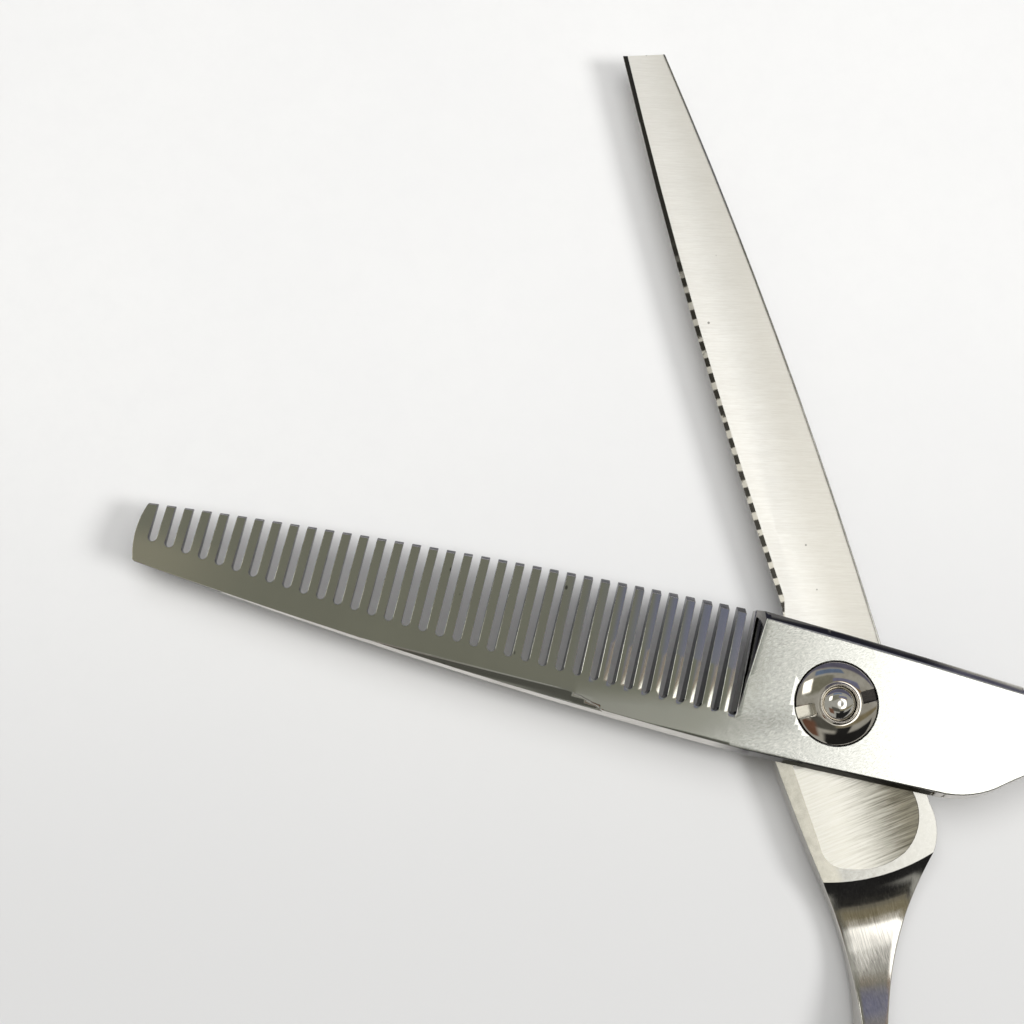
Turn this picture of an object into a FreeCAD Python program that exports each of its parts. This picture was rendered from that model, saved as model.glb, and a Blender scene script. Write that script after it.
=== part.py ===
import FreeCAD, Part
import os
from math import atan2, cos, degrees, radians, sin, sqrt, tan

V = FreeCAD.Vector

# Thinning shears, 6 inch class, lying open on the pivot bolt's head and on both finger rings.
# Millimetres. The origin is on the pivot axis, in the plane that the shears lie on, and +Z is up.
# The straight arm's blade points along +Y. The comb arm lies on it and is turned open about +Z.
#
# Each arm is first built in its own arm frame: the pivot is the origin, +Y runs to the tip,
# +X is the side that cuts, z = 0 is the ride face that meets the other arm, and +Z is outside.

# ---- Driving dimensions ----------------------------------------------------------------
open_angle = 60.5            # between the two blades as they lie
ride_z = 3.25                # height of the straight arm's ride face
arm_gap = 0.10               # free play between the two ride faces
straight_thickness = 2.95    # straight arm's block
comb_thickness = 3.10        # comb arm's block

tooth_count = 35
tooth_pitch = 1.79
slot_width = 0.86
first_slot_y = 71.0          # the slot nearest the tip

heel_centre = (-0.6, 3.3)    # of the arc, in plan, where the ride face ends behind the pivot
heel_radius = 21.4
comb_spine_bevel = (0.45, 1.50)   # along the outer faces: width in plan, and drop
comb_edge_bevel = (0.75, 0.60)
straight_bevel = (1.10, 1.10)
joint_y = -36.0              # where the forged blade is welded to the cast handle

finger_ring_y = -67.0
thumb_ring_y = -62.0
ring_x = 13.9                # ring centre, from the arm's centre line
ring_outer = 13.2
ring_inner = 11.2
ring_height = 6.0

rest_angle = -68.0           # where the finger rest stands on its ring, from the arm's +X
rest_bend = 45.0             # how far the finger rest curves outwards
rest_bend_r = 21.5
rest_r = 1.9
rest_stud_r = 1.25
bumper_r = 2.0
bumper_seat = 12.3           # from the ring's centre
bumper_end = 15.30
bumper_angle = 190.2         # towards the other ring, from the arm's +X

bolt_r = 2.0                 # journal
bolt_end_r = 1.70            # domed end that shows in the nut
bolt_head_r = 4.5
bolt_head_height = 1.3
bolt_head_flat = 3.9         # half the distance over the flats that key the head
nut_r = 4.17
nut_bore_r = 1.78
counterbore_r = 4.32
counterbore_depth = 1.65
fit = 0.04                   # radial running clearance
bushing_r = 2.75
bushing_flange = 0.30        # thickness
washer_r = 4.0
washer_recess = 0.40
spring_rise = 0.45           # of the wave spring, from the bushing's flange
spring_sheet = 0.20
thrust_thickness = 0.25
notch_direction = -2.5       # of the nut's spanner notches, from +X

COMB_Z = ride_z + arm_gap
TOP_Z = COMB_Z + comb_thickness
FLOOR_Z = TOP_Z - counterbore_depth
FLANGE_Z = FLOOR_Z + bushing_flange
SPRING_Z = FLANGE_Z + spring_rise
NUT_Z = SPRING_Z + thrust_thickness


# ---- Small helpers ---------------------------------------------------------------------
def line(a, b):
    return Part.LineSegment(V(*a), V(*b)).toShape()


def arc(a, b, c):
    """Arc from a to c through b."""
    return Part.Arc(V(*a), V(*b), V(*c)).toShape()


def spline(points, start_tangent, end_tangent):
    curve = Part.BSplineCurve()
    curve.interpolate([V(*p) for p in points], InitialTangent=V(*start_tangent), FinalTangent=V(*end_tangent))
    return curve.toShape()


def prism(edges, direction):
    return Part.Face(Part.Wire(edges)).extrude(V(*direction))


def flat(points, z=0.0):
    """Plan points with one height."""
    return [(x, y, z) for x, y in points]


def disc(r, z0, z1, x=0.0, y=0.0):
    return Part.makeCylinder(r, z1 - z0, V(x, y, z0))


def tube(r_out, r_in, z0, z1):
    return disc(r_out, z0, z1).cut(disc(r_in, z0 - 1, z1 + 1))


def revolved(edges, angle=360.0, centre=V(0, 0, 0)):
    return Part.Face(Part.Wire(edges)).revolve(centre, V(0, 0, 1), angle)


def loop_edges(points):
    return [line(a, b) for a, b in zip(points, points[1:] + points[:1])]


def circle_of(a, b, c):
    """Centre and radius of the circle through three plan points."""
    curve = arc((*a, 0), (*b, 0), (*c, 0)).Curve
    return curve.Center, curve.Radius


def arc_x(points, y):
    """The x of the arc through three plan points, at a given y, on the side of the points."""
    centre, radius = circle_of(*points)
    reach = sqrt(radius ** 2 - (y - centre.y) ** 2)
    return centre.x + reach if points[1][0] > centre.x else centre.x - reach


def bevel_profile(corner, inward, z, bevel):
    """Triangle that takes a corner off at height z. inward is +1 where the block lies at larger x."""
    width, drop = bevel
    past = 1.0
    out = corner - inward * past
    return loop_edges([
        (out, 0, z - drop * (1 + past / width)), (out, 0, z + past),
        (corner + inward * width * (1 + past / drop), 0, z + past)])


def bevel_line(a, b, z, bevel):
    """Wedge that bevels a block's outer corner along its side from a to b, with the block on the left."""
    past = 1.0
    run = V(b[0] - a[0], b[1] - a[1], 0)
    wedge = prism(bevel_profile(0.0, -1, z, bevel), (0, run.Length + 2 * past, 0))
    wedge.translate(V(0, -past, 0))
    wedge.rotate(V(0, 0, 0), V(0, 0, 1), degrees(atan2(-run.x, run.y)))
    wedge.translate(V(a[0], a[1], 0))
    return wedge


def bevel_arc(a, b, c, z, bevel, bulge=1):
    """The same along the arc from a through b to c. bulge is -1 where the side is hollow in plan."""
    overlap = 0.15
    centre, radius = circle_of(a, b, c)
    start = degrees(atan2(a[1] - centre.y, a[0] - centre.x))
    sweep = (degrees(atan2(c[1] - centre.y, c[0] - centre.x)) - start + 180.0) % 360.0 - 180.0
    spare = degrees(overlap / radius)
    if sweep < 0:
        start, sweep = start + sweep, -sweep
    wedge = Part.Face(Part.Wire(bevel_profile(radius, -bulge, z, bevel)))
    wedge.rotate(V(0, 0, 0), V(0, 0, 1), start - spare)
    wedge = wedge.revolve(V(0, 0, 0), V(0, 0, 1), sweep + 2 * spare)
    wedge.translate(V(centre.x, centre.y, 0))
    return wedge


# ---- Arm outlines, in the arm frame ----------------------------------------------------
# Three plan points give each long, slightly bowed edge of a blade.
TOOTH_TIPS = [(7.40, 9.5), (5.72, 41.0), (2.80, 72.4)]
SLOT_ENDS = [(-3.65, 10.0), (-3.15, 41.0), (-0.96, 71.0)]
COMB_SPINE = [(-3.35, 71.8), (-6.10, 39.0), (-7.20, 8.0)]
COMB_CORNER = [(-6.62, -11.8), (-6.10, -15.3), (-4.75, -18.0)]
COMB_EDGE_SIDE = [(6.35, -18.5), (7.00, -4.0), (7.40, 9.5)]
CUTTING_EDGE = [(1.75, 11.5), (2.22, 42.0), (1.30, 72.4)]
STRAIGHT_SPINE = [(-3.22, 71.5), (-6.15, 38.0), (-7.20, 6.0)]
STRAIGHT_CORNER = [(-7.25, -12.5), (-6.95, -16.0), (-5.70, -17.9)]
STRAIGHT_HEEL_SIDE = [(5.75, -17.5), (6.75, -8.0), (7.30, 2.0)]

# The shank runs back on the cutting side, towards the ring: where both of its sides stand at
# shank_y, and the points that its sides pass before that.
shank_y = -33.2
COMB_SHANK = (3.75, 7.45)
COMB_SHANK_BENDS = [(-0.70, -23.8), (6.15, -26.0)]
STRAIGHT_SHANK = (4.05, 6.75)
STRAIGHT_SHANK_BENDS = [(0.20, -25.8), (5.28, -24.6)]


def on_ring(angle, ring_y, r=ring_outer):
    """Point on a finger ring, at an angle from the arm's +X."""
    return (ring_x + r * cos(radians(angle)), ring_y + r * sin(radians(angle)), 0)


def handle_edges(shank, ring_y):
    """Both sides of the handle's bar, from the shank into the ring."""
    bulge_in = 1.15
    bulge_out = 1.35
    inner_end = on_ring(166.0, ring_y)
    outer_end = on_ring(118.0, ring_y, ring_outer - 0.6)
    root = (shank[0], shank_y, 0)
    root_out = (shank[1], shank_y, 0)
    return [
        arc(root, (shank[0] + bulge_in, 0.55 * shank_y + 0.45 * inner_end[1], 0), inner_end),
        line(inner_end, outer_end),
        arc(outer_end, (shank[1] + bulge_out, 0.5 * (shank_y + outer_end[1]), 0), root_out),
    ]


def comb_outline():
    tips = flat(TOOTH_TIPS)
    spine = flat(COMB_SPINE)
    corner = flat(COMB_CORNER)
    edge_side = flat(COMB_EDGE_SIDE)
    bends = flat(COMB_SHANK_BENDS)
    tip = [tips[2], (-0.3, 72.85, 0), (-2.95, 72.35, 0)]
    return [
        arc(*tip),
        arc(tip[2], (-3.28, 72.15, 0), spine[0]),
        arc(*spine),
        line(spine[2], corner[0]),
        arc(*corner),
        arc(corner[2], bends[0], (COMB_SHANK[0], shank_y, 0)),
        *handle_edges(COMB_SHANK, finger_ring_y),
        arc((COMB_SHANK[1], shank_y, 0), bends[1], edge_side[0]),
        arc(*edge_side),
        arc(*tips),
    ]


def straight_outline():
    edge = flat(CUTTING_EDGE)
    spine = flat(STRAIGHT_SPINE)
    corner = flat(STRAIGHT_CORNER)
    heel = flat(STRAIGHT_HEEL_SIDE)
    bends = flat(STRAIGHT_SHANK_BENDS)
    return [
        line(edge[2], spine[0]),
        arc(*spine),
        line(spine[2], corner[0]),
        arc(*corner),
        arc(corner[2], bends[0], (STRAIGHT_SHANK[0], shank_y, 0)),
        *handle_edges(STRAIGHT_SHANK, thumb_ring_y),
        arc((STRAIGHT_SHANK[1], shank_y, 0), bends[1], heel[0]),
        arc(*heel),
        arc(heel[2], (3.7, 5.2, 0), edge[0]),
        arc(*edge),
    ]


def outer_profile(thickness, ring_low, ring_high):
    """Side view of an arm's outside: flat over the block, then easing to the ring's height."""
    tip_y = 80.0
    end_y = -90.0
    back_y = -47.0
    aft = (0, -1, 0)
    top = (0, -17.0, thickness)
    middle = (0, -32.0, 0.5 * (thickness + ring_high))
    back = (0, back_y, ring_high)
    return [
        line((0, tip_y, ring_low), (0, tip_y, thickness)),
        line((0, tip_y, thickness), top),
        spline([top, middle, back], aft, aft),
        line(back, (0, end_y, ring_high)),
        line((0, end_y, ring_high), (0, end_y, ring_low)),
        line((0, end_y, ring_low), (0, tip_y, ring_low)),
    ]


def ride_side_cutter(ring_low):
    """Everything below the ride face, and the hollow that drops away behind the heel's curved edge."""
    (x, y), radius = heel_centre, heel_radius
    hollow = [(0.0, 0.0), (2.2, 0.70), (4.9, 1.03), (8.9, 0.75), (10.8, 0.33), (13.6, -0.47),
              (19.0, 0.70 * ring_low), (28.0, ring_low)]
    hollow = [(radius + out, 0, depth) for out, depth in hollow]
    low = -20.0
    far = (radius + 28.0, 0, low)
    profile = [
        line((0, 0, low), (0, 0, 0)),
        line((0, 0, 0), hollow[0]),
        spline(hollow, (1.9, 0, 1), (1, 0, 0)),
        line(hollow[-1], far),
        line(far, (0, 0, low)),
    ]
    bowl = Part.Face(Part.Wire(profile))
    bowl.rotate(V(0, 0, 0), V(0, 0, 1), 180.0)
    bowl = bowl.revolve(V(0, 0, 0), V(0, 0, 1), 180.0)
    bowl.translate(V(x, y, 0))
    ahead = Part.makeBox(60, 100, 20, V(-30, y - 1.0, low))
    return bowl.fuse(ahead)


def raw_arm(outline, thickness, ring_low, ring_high):
    """Arm without its ring: the plan outline, the outer profile and the ride side."""
    depth = 10.0
    plan = prism(outline, (0, 0, 2 * depth))
    plan.translate(V(0, 0, -depth))
    side = prism(outer_profile(thickness, ring_low, ring_high), (60, 0, 0))
    side.translate(V(-30, 0, 0))
    return plan.common(side).cut(ride_side_cutter(ring_low))


def ring(y, ring_low, ring_high):
    """Finger ring: a hoop with well rounded outer edges and eased inner edges."""
    mid = 0.5 * (ring_low + ring_high)
    easing = 0.5
    shoulder = 0.7
    profile = [
        line((ring_inner, 0, ring_low + easing), (ring_inner, 0, ring_high - easing)),
        line((ring_inner, 0, ring_high - easing), (ring_inner + easing, 0, ring_high)),
        arc((ring_inner + easing, 0, ring_high), (ring_outer - 0.4, 0, ring_high - shoulder),
            (ring_outer, 0, mid)),
        arc((ring_outer, 0, mid), (ring_outer - 0.4, 0, ring_low + shoulder),
            (ring_inner + easing, 0, ring_low)),
        line((ring_inner + easing, 0, ring_low), (ring_inner, 0, ring_low + easing)),
    ]
    hoop = revolved(profile)
    hoop.translate(V(ring_x, y, 0))
    return hoop


def behind(y):
    """Everything behind the weld line."""
    return Part.makeBox(200, 200, 60, V(-100, y - 200, -30))


# ---- Comb arm --------------------------------------------------------------------------
COMB_LOW = -COMB_Z
COMB_HIGH = COMB_LOW + ring_height


def face_cutter():
    """Takes the comb blade's outer face down towards the teeth and towards the tip."""
    foot_y = 9.62
    wall_lean = 28.0
    reach = 80.0
    depth = 12.0
    tilt_across = 9.1
    tilt_along = 1.45
    height = 5.90
    profile = loop_edges([
        (-20.0, 0, 0), (-20.0, reach, 0), (-20.0, reach, depth), (-20.0, -depth * tan(radians(wall_lean)), depth)])
    block = prism(profile, (40.0, 0, 0))
    block.rotate(V(0, 0, 0), V(0, 1, 0), tilt_across)
    block.rotate(V(0, 0, 0), V(1, 0, 0), -tilt_along)
    block.translate(V(0, foot_y, height - COMB_Z))
    return block


def spine_facet():
    """Ground facet along the comb's spine. It ends towards the pivot in a small curled step."""
    border = flat([(-5.30, 58.0), (-5.25, 45.0), (-5.12, 33.0), (-5.46, 25.8), (-6.30, 23.2), (-7.60, 21.9)], 1.0)
    far = -14.0
    fall_outward = 14.0
    fall_along = 1.45
    fold = (-5.18, 33.0, 2.80)
    top = 6.0
    plan = [
        spline(border, (0, -1, 0), (-1, -0.2, 0)),
        line(border[-1], (far, border[-1][1], 1.0)),
        line((far, border[-1][1], 1.0), (far, border[0][1], 1.0)),
        line((far, border[0][1], 1.0), border[0]),
    ]
    above = Part.makeBox(40, 90, top, V(-30, -30, 0))
    above.rotate(V(0, 0, 0), V(0, 1, 0), -fall_outward)
    above.rotate(V(0, 0, 0), V(1, 0, 0), -fall_along)
    above.translate(V(*fold))
    return prism(plan, (0, 0, top)).common(above)


def slot(i):
    """One gap between two teeth, with its round end."""
    y = first_slot_y - i * tooth_pitch
    r = slot_width / 2
    end_x = arc_x(SLOT_ENDS, y) + r
    top = 6.0
    channel = Part.makeBox(20, slot_width, top + 1, V(end_x, y - r, -1))
    return channel.fuse(disc(r, -1, top, end_x, y))


def tooth_bevel():
    """Short bevel across the ends of the teeth."""
    centre, radius = circle_of(*TOOTH_TIPS)
    length = 0.75
    land = 0.25
    rise = 1.6
    past = 0.3
    top = 6.0
    profile = loop_edges([
        (radius + past, 0, land - rise * past / length),
        (radius + past, 0, top),
        (radius - length * (top - land) / rise, 0, top),
    ])
    cutter = Part.Face(Part.Wire(profile))
    cutter.rotate(V(0, 0, 0), V(0, 0, 1), -10.0)
    cutter = cutter.revolve(V(0, 0, 0), V(0, 0, 1), 30.0)
    cutter.translate(centre)
    last_tooth_y = 10.2
    return cutter.common(Part.makeBox(60, 66, 12, V(-20, last_tooth_y, -2)))


def comb_arm():
    arm = raw_arm(comb_outline(), comb_thickness, COMB_LOW, COMB_HIGH)
    z = comb_thickness
    arm = arm.cut([
        bevel_arc(*COMB_SPINE, z, comb_spine_bevel),
        bevel_line(COMB_SPINE[2], COMB_CORNER[0], z, comb_spine_bevel),
        bevel_arc(*COMB_CORNER, z, comb_spine_bevel),
        bevel_arc(COMB_CORNER[2], COMB_SHANK_BENDS[0], (COMB_SHANK[0], shank_y), z, comb_spine_bevel, -1),
        bevel_arc(*COMB_EDGE_SIDE, z, comb_edge_bevel),
    ])
    arm = arm.cut(face_cutter()).cut(spine_facet())
    arm = arm.cut([slot(i) for i in range(tooth_count)])
    arm = arm.cut(tooth_bevel())
    floor = comb_thickness - counterbore_depth
    arm = arm.cut(disc(counterbore_r, floor, comb_thickness + 1))
    arm = arm.cut(disc(bushing_r, -1, comb_thickness))
    return arm


# ---- Straight arm ----------------------------------------------------------------------
STRAIGHT_LOW = -(ring_height - ride_z)
STRAIGHT_HIGH = ride_z


def edge_bevel():
    """Outer bevel that runs out to the cutting edge."""
    centre, radius = circle_of(*CUTTING_EDGE)
    width = 6.2
    land = 0.12
    slope = (straight_thickness - land) / width
    profile = loop_edges([
        (radius + 1.0, 0, land - slope),
        (radius + 1.0, 0, straight_thickness + 0.5),
        (radius - width - 0.5 / slope, 0, straight_thickness + 0.5),
    ])
    cutter = Part.Face(Part.Wire(profile))
    cutter.rotate(V(0, 0, 0), V(0, 0, 1), -10.0)
    cutter = cutter.revolve(V(0, 0, 0), V(0, 0, 1), 30.0)
    cutter.translate(centre)
    return cutter.common(Part.makeBox(60, 80, 12, V(-20, 9.5, -2)))


def back_taper():
    """Thins the straight blade towards its tip, on the outside."""
    fall = 1.15
    block = Part.makeBox(40, 90, 10, V(-20, 0, 0))
    block.rotate(V(0, 0, 0), V(1, 0, 0), -fall)
    block.translate(V(0, 9.0, straight_thickness))
    return block


def ride_hollow():
    """Shallow hollow in the ride face, with a U-shaped end inside the heel's border."""
    depth = 0.08
    edge_land = 0.5
    spine_land = 0.2
    edge = [(x - edge_land, y, 0) for x, y in CUTTING_EDGE]
    spine = [(x + spine_land, y, 0) for x, y in STRAIGHT_SPINE]
    left = (5.5, -3.0, 0)
    left_low = (5.0, -13.6, 0)
    right = (-5.9, -11.0, 0)
    outline = [
        line((edge[2][0], 90, 0), (spine[0][0], 90, 0)),
        line((spine[0][0], 90, 0), spine[0]),
        arc(*spine),
        arc(spine[2], (-6.7, -2.0, 0), right),
        arc(right, (-5.2, -14.8, 0), (-3.2, -16.6, 0)),
        arc((-3.2, -16.6, 0), (-0.2, -17.2, 0), (3.0, -16.5, 0)),
        arc((3.0, -16.5, 0), (4.5, -15.5, 0), left_low),
        line(left_low, left),
        line(left, edge[0]),
        arc(*edge),
        line(edge[2], (edge[2][0], 90, 0)),
    ]
    pocket = prism(outline, (0, 0, depth + 1))
    pocket.translate(V(0, 0, -1))
    pivot_land = 5.6
    return pocket.cut(disc(pivot_land, -2, 2))


def head_shape(r, flat_half, z0, z1):
    """Disc with two flats, as the bolt's head and its seat have."""
    return disc(r, z0, z1).common(Part.makeBox(30, 2 * flat_half, z1 - z0, V(-15, -flat_half, z0)))


def straight_arm():
    arm = raw_arm(straight_outline(), straight_thickness, STRAIGHT_LOW, STRAIGHT_HIGH)
    z = straight_thickness
    arm = arm.cut([
        bevel_arc(*STRAIGHT_SPINE, z, straight_bevel),
        bevel_line(STRAIGHT_SPINE[2], STRAIGHT_CORNER[0], z, straight_bevel),
        bevel_arc(*STRAIGHT_HEEL_SIDE, z, straight_bevel),
    ])
    arm = arm.cut(edge_bevel())
    arm = arm.cut(back_taper())
    arm = arm.cut(ride_hollow())
    seat = ride_z - bolt_head_height
    arm = arm.cut(head_shape(bolt_head_r + fit, bolt_head_flat + fit, seat, seat + 5))
    arm = arm.cut(disc(bolt_r + fit, -1, 5))
    arm = arm.cut(disc(washer_r + fit, -1, washer_recess))
    return arm


# ---- Pivot -----------------------------------------------------------------------------
def pivot_bolt():
    shank_top = TOP_Z - 0.35
    dome_z = TOP_Z + 0.82
    dome_rise = 0.62
    key = head_shape(bolt_head_r, bolt_head_flat, 0, bolt_head_height)
    journal = disc(bolt_r, bolt_head_height, shank_top - 1.0)
    thread = disc(bolt_end_r, shank_top - 1.0, dome_z)
    dome = revolved([
        line((0, 0, dome_z), (bolt_end_r, 0, dome_z)),
        arc((bolt_end_r, 0, dome_z), (bolt_end_r * 0.707, 0, dome_z + dome_rise * 0.66),
            (0, 0, dome_z + dome_rise)),
        line((0, 0, dome_z + dome_rise), (0, 0, dome_z)),
    ])
    return key.fuse(journal).fuse(thread).fuse(dome).removeSplitter()


def blade_washer():
    return tube(washer_r, bolt_r + fit, ride_z - washer_recess, COMB_Z)


def pivot_bushing():
    sleeve = tube(bushing_r - 0.005, bolt_r + fit, COMB_Z, FLOOR_Z)
    flange = tube(counterbore_r - 0.12, bolt_r + fit, FLOOR_Z, FLANGE_Z)
    return sleeve.fuse(flange).removeSplitter()


def wave_spring():
    """Spring washer: a dished ring between the bushing's flange and the thrust washer."""
    t = spring_sheet
    outer = counterbore_r - 0.25
    inner = bolt_r + 0.35
    return revolved(loop_edges([
        (inner, 0, SPRING_Z - t), (outer, 0, FLANGE_Z), (outer, 0, FLANGE_Z + t), (inner, 0, SPRING_Z),
    ]))


def thrust_washer():
    return tube(counterbore_r - 0.2, bolt_r + 0.15, SPRING_Z, NUT_Z)


def tension_nut():
    """Round nut with a domed top, a thin collar round its bore and two spanner notches."""
    rim_z = TOP_Z + 0.12
    collar_r = 2.02
    collar_foot = 2.18
    collar_z = TOP_Z + 1.18
    dome_top = TOP_Z + 0.92
    body = revolved([
        line((nut_bore_r, 0, NUT_Z), (nut_r, 0, NUT_Z)),
        line((nut_r, 0, NUT_Z), (nut_r, 0, rim_z)),
        arc((nut_r, 0, rim_z), (3.45, 0, TOP_Z + 0.62), (collar_foot, 0, dome_top)),
        line((collar_foot, 0, dome_top), (collar_r, 0, collar_z - 0.1)),
        arc((collar_r, 0, collar_z - 0.1), (0.5 * (collar_r + nut_bore_r), 0, collar_z),
            (nut_bore_r, 0, collar_z - 0.1)),
        line((nut_bore_r, 0, collar_z - 0.1), (nut_bore_r, 0, NUT_Z)),
    ])
    notch_width = 1.2
    notch_floor = TOP_Z - 0.25
    notch_start = 2.45
    notch = Part.makeBox(4, notch_width, 4, V(notch_start, -notch_width / 2, notch_floor))
    other = notch.copy()
    other.rotate(V(0, 0, 0), V(0, 0, 1), 180)
    notches = notch.fuse(other)
    notches.rotate(V(0, 0, 0), V(0, 0, 1), notch_direction)
    return body.cut(notches)


# ---- Handles ---------------------------------------------------------------------------
def split_arm(arm, ring_y, low, high):
    """Blade in front of the weld, handle with its ring behind it."""
    rear = behind(joint_y)
    blade = arm.cut(rear)
    well = disc(ring_inner, -20, 20, ring_x, ring_y)
    handle = arm.common(rear).cut(well).fuse(ring(ring_y, low, high)).removeSplitter()
    return blade, handle


def spoke(r, start, end, angle, y, z):
    """Round peg on a finger ring, along the ring's radius at an angle."""
    turn = radians(angle)
    out = V(cos(turn), sin(turn), 0)
    return Part.makeCylinder(r, end - start, V(ring_x, y, z) + out * start, out)


REST_BOSS_END = ring_outer + 1.3
COMB_RING_Z = 0.5 * (COMB_LOW + COMB_HIGH)
STRAIGHT_RING_Z = 0.5 * (STRAIGHT_LOW + STRAIGHT_HIGH)


def finger_rest():
    """Little-finger rest: a curved horn with a threaded stud that screws into the ring's boss."""
    turn = radians(rest_angle)
    out = V(cos(turn), sin(turn), 0)
    side = V(-sin(turn), cos(turn), 0)
    ring_centre = V(ring_x, finger_ring_y, COMB_RING_Z)
    foot = ring_centre + out * REST_BOSS_END
    bend_centre = foot + side * rest_bend_r
    stud = spoke(rest_stud_r, REST_BOSS_END - 2.4, REST_BOSS_END, rest_angle, finger_ring_y, COMB_RING_Z)
    section = Part.Face(Part.Wire(Part.Edge(Part.Circle(foot, out, rest_r))))
    horn = section.revolve(bend_centre, V(0, 0, 1), rest_bend)
    end_turn = turn + radians(rest_bend)
    end = bend_centre + V(sin(end_turn), -cos(end_turn), 0) * rest_bend_r
    return stud.fuse(horn).fuse(Part.makeSphere(rest_r, end)).removeSplitter()


def bumper():
    """Soft peg that stops the handles as the shears close."""
    return spoke(bumper_r, bumper_seat, bumper_end, bumper_angle, thumb_ring_y, STRAIGHT_RING_Z)


def ring_insert(y, low, high):
    """Soft ring inside a finger ring, with a lip over each face."""
    inner = 9.7
    mid = 0.5 * (low + high)
    base = [
        (ring_inner, 0, low + 0.6), (ring_inner, 0, high - 0.6), (ring_inner - 0.5, 0, high - 0.15),
        (inner + 0.3, 0, high - 0.25),
    ]
    profile = [
        line(base[0], base[1]),
        line(base[1], base[2]),
        line(base[2], base[3]),
        arc(base[3], (inner, 0, mid), (inner + 0.3, 0, low + 0.25)),
        line((inner + 0.3, 0, low + 0.25), (ring_inner - 0.5, 0, low + 0.15)),
        line((ring_inner - 0.5, 0, low + 0.15), base[0]),
    ]
    soft = revolved(profile)
    soft.translate(V(ring_x, y, 0))
    return soft


# ---- Placing ---------------------------------------------------------------------------
def place_comb(shape):
    shape = shape.copy()
    shape.translate(V(0, 0, COMB_Z))
    shape.rotate(V(0, 0, 0), V(0, 0, 1), open_angle)
    return shape


def place_straight(shape):
    shape = shape.copy()
    shape.rotate(V(0, 0, 0), V(0, 1, 0), 180)
    shape.translate(V(0, 0, ride_z))
    return shape


def main():
    comb_blade, comb_handle = split_arm(comb_arm(), finger_ring_y, COMB_LOW, COMB_HIGH)
    straight_blade, straight_handle = split_arm(straight_arm(), thumb_ring_y, STRAIGHT_LOW, STRAIGHT_HIGH)
    boss = spoke(2.6, ring_inner + 0.6, REST_BOSS_END, rest_angle, finger_ring_y, COMB_RING_Z)
    stud_hole = spoke(rest_stud_r + fit, REST_BOSS_END - 2.5, REST_BOSS_END + 1, rest_angle,
                      finger_ring_y, COMB_RING_Z)
    comb_handle = comb_handle.fuse(boss).removeSplitter().cut(stud_hole)
    bumper_hole = spoke(bumper_r + fit, bumper_seat, bumper_end, bumper_angle, thumb_ring_y, STRAIGHT_RING_Z)
    straight_handle = straight_handle.cut(bumper_hole)
    nodes = {
        "comb_blade": place_comb(comb_blade),
        "comb_handle": place_comb(comb_handle),
        "straight_blade": place_straight(straight_blade),
        "straight_handle": place_straight(straight_handle),
        "pivot_bolt": pivot_bolt(),
        "blade_washer": blade_washer(),
        "pivot_bushing": pivot_bushing(),
        "wave_spring": wave_spring(),
        "thrust_washer": thrust_washer(),
        "tension_nut": tension_nut(),
        "finger_rest": place_comb(finger_rest()),
        "bumper": place_straight(bumper()),
        "finger_ring_insert": place_comb(ring_insert(finger_ring_y, COMB_LOW, COMB_HIGH)),
        "thumb_ring_insert": place_straight(ring_insert(thumb_ring_y, STRAIGHT_LOW, STRAIGHT_HIGH)),
    }
    os.makedirs("parts", exist_ok=True)
    for name, shape in nodes.items():
        box = shape.BoundBox
        print(name, len(shape.Solids), shape.isValid(), round(shape.Volume, 2),
              [round(v, 2) for v in (box.XMin, box.XMax, box.YMin, box.YMax, box.ZMin, box.ZMax)])
        shape.exportStep("parts/" + name + ".step")


main()
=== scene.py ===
from math import atan2, cos, hypot, pi, radians, sin, sqrt

import bmesh
import bpy
from mathutils import Matrix, Vector
from mathutils.bvhtree import BVHTree


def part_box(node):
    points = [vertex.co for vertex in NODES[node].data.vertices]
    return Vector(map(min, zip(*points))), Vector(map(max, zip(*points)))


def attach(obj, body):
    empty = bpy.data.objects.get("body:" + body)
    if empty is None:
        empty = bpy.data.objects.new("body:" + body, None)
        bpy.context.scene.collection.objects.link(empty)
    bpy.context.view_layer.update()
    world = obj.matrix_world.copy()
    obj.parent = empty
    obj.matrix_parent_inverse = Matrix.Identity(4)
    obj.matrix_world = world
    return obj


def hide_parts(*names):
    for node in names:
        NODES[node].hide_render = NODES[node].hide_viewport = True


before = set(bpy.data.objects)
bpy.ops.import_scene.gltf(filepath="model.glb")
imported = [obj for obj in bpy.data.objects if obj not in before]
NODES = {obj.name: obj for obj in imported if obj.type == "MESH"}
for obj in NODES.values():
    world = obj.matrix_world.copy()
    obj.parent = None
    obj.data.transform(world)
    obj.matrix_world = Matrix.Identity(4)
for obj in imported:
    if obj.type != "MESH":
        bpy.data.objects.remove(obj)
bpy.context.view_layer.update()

# Thinning shears, open on a pale table. Metres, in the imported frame: the pivot axis is Z,
# the straight blade points along +Y, and the comb blade is turned open about the pivot.
MM = 0.001
OPEN_ANGLE = radians(60.5)
RIDE_Z = 3.25 * MM           # the straight arm's ride face, which looks up
COMB_RIDE_Z = 3.35 * MM
COMB_TOP_Z = 6.45 * MM
TOOTH_PITCH = 1.79 * MM

# ---- Camera ----------------------------------------------------------------------------
VIEW_TURN = radians(-15.5)             # from the view's upright to the frame's +Y
CAMERA_AT = Vector((-41.874, 0.954, 151.690)) * MM
PLUMB = Vector((-0.0628, 0.1255, 1.0)) # straight down, as right, down and forward of the lens
LENS = 50.98
SENSOR = 36.0


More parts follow.
